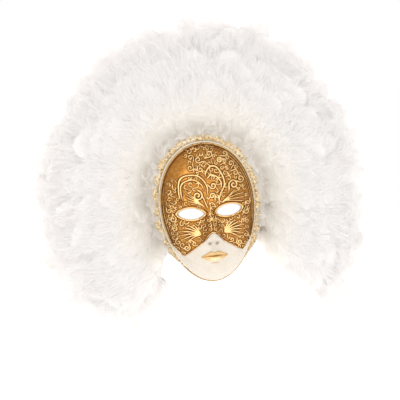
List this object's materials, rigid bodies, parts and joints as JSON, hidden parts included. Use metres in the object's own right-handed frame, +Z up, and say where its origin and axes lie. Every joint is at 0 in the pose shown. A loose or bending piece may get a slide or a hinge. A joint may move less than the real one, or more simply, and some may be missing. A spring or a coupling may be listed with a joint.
{
  "type": "venetian masquerade mask",
  "caption": "Full-face masquerade mask, white with a gilt embossed upper face, framed by gold braid in a large horseshoe crown of white feathers.",
  "frame": {"origin": "on the plane of symmetry at eye level, where the front of the crown's board meets the mask's skirt; the wearer's head enters there", "axes": "+Z up, +X to the viewer's right across the face, -Y the way the face looks, +Y back along the strap"},
  "size_m": [0.5646, 0.2242, 0.5068],
  "materials": {
    "white_lacquer": "gloss",
    "antique_gilt": "satin",
    "gold_lace": "satin",
    "gold_cord": "satin",
    "foam": "matte",
    "board": "matte",
    "felt": "matte",
    "cotton_tape": "matte",
    "marabou": "matte",
    "plume": "matte",
    "white_wire": "satin",
    "brass": "satin",
    "nylon": "satin",
    "leather": "satin",
    "elastic": "matte",
    "steel": "satin"
  },
  "bodies": {
    "mask": {"mask_shell": "white_lacquer", "gilt_relief": "antique_gilt", "lace_braid": "gold_lace", "chin_cord": "gold_cord", "forehead_pad": "foam", "cheek_pad_left": "foam", "cheek_pad_right": "foam", "crown_board": "board", "back_felt": "felt", "ruff_tape": "cotton_tape", "middle_tape": "cotton_tape", "outer_tape": "cotton_tape", "marabou_ruff": "marabou", "middle_plumes": "plume", "outer_plumes": "plume", "rib_wire_1": "white_wire", "rib_wire_2": "white_wire", "rib_wire_3": "white_wire", "rib_wire_4": "white_wire", "rib_wire_5": "white_wire", "rib_wire_6": "white_wire", "rib_wire_7": "white_wire", "inner_hoop_wire": "white_wire", "outer_hoop_wire": "white_wire", "rivet_left": "brass", "rivet_right": "brass", "spacer_left": "nylon", "spacer_right": "nylon"},
    "strap": {"strap_tab_left": "leather", "strap_tab_right": "leather", "strap_loop": "steel", "strap_band": "elastic"},
    "slider": {"strap_slider": "nylon"}
  },
  "joints": [
    {"name": "strap_swing", "type": "hinge", "parent": "mask", "child": "strap", "pos_m": [0, -0.007, 0.01], "axis": [1, 0, 0], "range_deg": [-25, 40]},
    {"name": "slider_slide", "type": "slide", "parent": "strap", "child": "slider", "axis": [0, 1, 0], "range_m": [-0.004, 0.014]}
  ]
}
